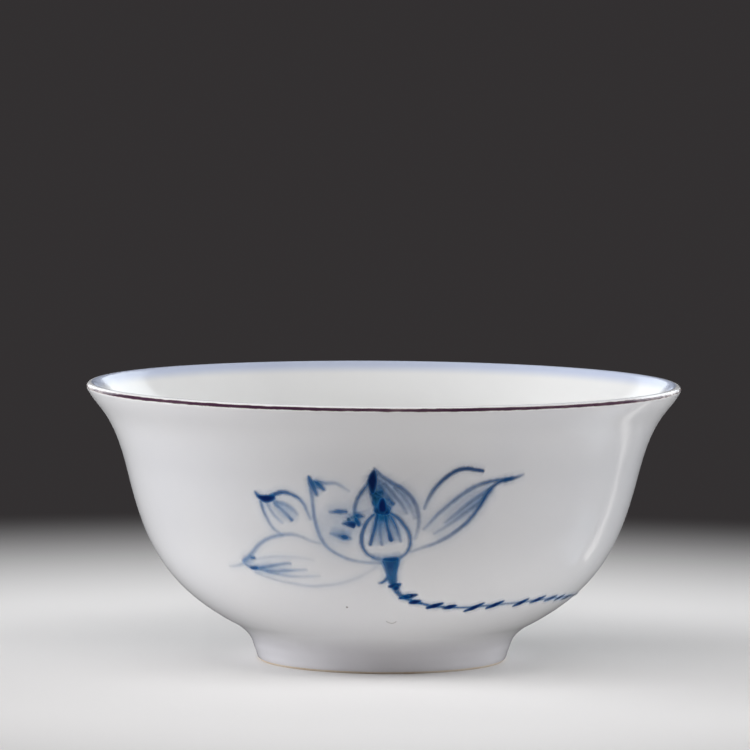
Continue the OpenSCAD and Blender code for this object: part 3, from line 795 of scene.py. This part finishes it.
def make_brushwork(name, strokes, material, node):
    """One piece from all the strokes of a group, given as (widths, depths, path, soft, order)."""
    vertices, brushes, reaches, faces = [], [], [], []
    count = 0
    for stroke in strokes:
        upper, lower, brush, reach = stroke_grid(*stroke)
        faces += strip_faces(*upper.shape[:2], count, False)
        vertices += [upper.reshape(-1, 3), lower.reshape(-1, 3)]
        brushes += [brush.reshape(-1, 3)] * 2
        reaches += [reach.reshape(-1, 3)] * 2
        count += 2 * upper.shape[0] * upper.shape[1]
    attributes = {"brush": np.vstack(brushes), "reach": np.vstack(reaches)}
    piece = finished(name, np.vstack(vertices), faces, material, attributes)
    painted_on(piece, node)


def make_painting():
    order = 0
    for group, lines in LINES.items():
        strokes = [(*stroke, SOFT_HAZE) for stroke in HAZES.get(group, [])]
        strokes += [(*stroke, SOFT_WASH) for stroke in WASHES.get(group, [])]
        strokes += [(tuple(THINNER * width for width in widths), *rest, SOFT_LINE) for widths, *rest in lines]
        if group == "stem":
            strokes = [(*stroke[:3], SOFT_LINE) for stroke in strokes]
            strokes += [(*stroke, SOFT_LINE) for stroke in touches()]
        numbered = [(*stroke, order + i) for i, stroke in enumerate(strokes)]
        order += len(strokes)
        ink = SMOKY_COBALT if group in SMOKY else COBALT
        make_brushwork(group + "_brushwork", numbered, ink, group)
    specks = [(*stroke, SOFT_SPECK, order + i) for i, stroke in enumerate(SPECKS)]
    make_brushwork("glaze_specks", specks, BROWN, None)


# ---------------------------------------------------------------- stage, light and camera

BACKDROP = (0.033, 0.030, 0.031)
# Painted pool of light on the floor: its pale colour, and where it starts and ends fading, in metres from the
# bowl's axis
LIGHT_POOL_PALE = (0.76, 0.75, 0.74)
LIGHT_POOL_FADE_START = 0.065
LIGHT_POOL_FADE_END = 0.20


def floor_material():
    """Floor with a painted pool of light: pale under the bowl and fading to black further out,
    where it glows with the charcoal colour of the backdrop instead.
    """
    material, tree, shader = new_material("floor_painted_light_pool")
    place = add(tree, "ShaderNodeTexCoord").outputs["Object"]
    flat = stretched(tree, place, (1.0, 1.0, 0.0))
    away = add(tree, "ShaderNodeVectorMath", {0: flat}, operation="LENGTH").outputs["Value"]
    share = maths(tree, "DIVIDE", away, LIGHT_POOL_FADE_END)
    black = (0.0, 0.0, 0.0)
    painted_light_pool = ramp(tree, share, [(LIGHT_POOL_FADE_START / LIGHT_POOL_FADE_END, LIGHT_POOL_PALE), (1.0, black)], True)
    backdrop_glow = ramp(tree, share, [(LIGHT_POOL_FADE_START / LIGHT_POOL_FADE_END, black), (1.0, BACKDROP)], True)
    tree.links.new(painted_light_pool, shader.inputs["Base Color"])
    tree.links.new(backdrop_glow, shader.inputs["Emission Color"])
    shader.inputs["Emission Strength"].default_value = 1.0
    shader.inputs["Roughness"].default_value = 0.8
    shader.inputs["Specular IOR Level"].default_value = 0.0
    return material


def make_floor():
    mesh = bpy.data.meshes.new("floor")
    built = bmesh.new()
    bmesh.ops.create_circle(built, cap_ends=True, segments=128, radius=3.0)
    built.to_mesh(mesh)
    built.free()
    mesh.materials.append(floor_material())
    floor = bpy.data.objects.new("floor", mesh)
    floor.visible_glossy = False
    bpy.context.scene.collection.objects.link(floor)


def softbox(name, size, power, colour):
    light = bpy.data.lights.new(name, "AREA")
    light.shape = "RECTANGLE"
    light.size, light.size_y = size
    light.energy = power
    light.color = colour
    lamp = bpy.data.objects.new(name, light)
    lamp.visible_camera = False
    bpy.context.scene.collection.objects.link(lamp)
    return lamp


def area_light(name, place, size, power, colour, mirrored):
    """A softbox aimed at the bowl. One that isn't mirrored only fills, with no highlight."""
    lamp = softbox(name, size, power, colour)
    lamp.location = place
    lamp.rotation_euler = (Vector((0, 0, 0.02)) - Vector(place)).to_track_quat("-Z", "Y").to_euler()
    lamp.visible_glossy = mirrored


def floor_card(name, start, end, width, power, colour):
    """A narrow light lying on the floor from start to end, facing up."""
    lamp = softbox(name, ((end - start).length, width), power, colour)
    middle = (start + end) / 2
    lamp.location = (middle.x, middle.y, 0.001)
    lamp.rotation_euler = (math.pi, 0, math.atan2(end.y - start.y, end.x - start.x))


# Softboxes: place and size in metres, power in watts, colour, and whether the glaze mirrors it
LIGHTS = {
    "top_front": ((0.0, -0.5, 1.0), (1.2, 0.6), 6.0, (1.0, 0.99, 1.0), False),
    "left": ((-1.1, 0.0, 0.4), (0.8, 0.8), 14.0, (0.97, 0.98, 1.0), False),
    "right": ((1.1, 0.0, 0.4), (0.8, 0.8), 8.0, (0.97, 0.98, 1.0), False),
    "back_left": ((-0.62, 0.95, 0.28), (0.8, 0.5), 1.9, (0.88, 0.95, 1.0), True),
    "back_right": ((0.74, 0.85, 0.35), (1.0, 0.6), 4.0, (0.88, 0.95, 1.0), True),
    "card": ((0.0, -0.20, 0.004), (0.5, 0.12), 0.12, (1.0, 0.97, 0.98), False),
}

# Narrow cards on the floor, seen only as streaks in the glaze: start, end, width, power, colour
CARDS = {
    "streak": ((0.046, 0.006), (0.094, 0.047), 0.005, 0.0011, (1.0, 0.98, 0.93)),
    "cool_band": ((0.044, -0.010), (0.074, 0.006), 0.016, 0.0008, (0.80, 0.90, 1.0)),
}


def make_light():
    world = bpy.data.worlds.new("studio")
    world.use_nodes = True
    world.node_tree.nodes["Background"].inputs["Color"].default_value = (*BACKDROP, 1)
    bpy.context.scene.world = world
    for name, (place, size, power, colour, mirrored) in LIGHTS.items():
        area_light(name, place, size, power, colour, mirrored)
    for name, (start, end, width, power, colour) in CARDS.items():
        floor_card(name, Vector(start), Vector(end), width, power, colour)


def make_camera():
    """Long lens a little above the rim, at the distance where the lip's ellipse looks right."""
    away, above, lens = 0.750, math.radians(4.46), 267.2
    rim = Vector((0, 0, BOWL_H * MM))
    aim = rim + Vector((-0.00116, 0, 0.00100))
    camera = bpy.data.objects.new("camera", bpy.data.cameras.new("camera"))
    camera.data.lens = lens
    camera.data.sensor_width = 36
    camera.data.clip_start = 0.05
    place = rim + Vector((0, -away * math.cos(above), away * math.sin(above)))
    look = (aim - place).to_track_quat("-Z", "Y").to_matrix().to_4x4()
    roll = Matrix.Rotation(math.radians(0.4), 4, "Z")
    camera.matrix_world = Matrix.Translation(place) @ look @ roll
    bpy.context.scene.collection.objects.link(camera)
    bpy.context.scene.camera = camera


make_clay()
make_glaze()
make_rim_line()
make_painting()
make_floor()
make_light()
make_camera()
bpy.context.scene.view_settings.view_transform = "Standard"
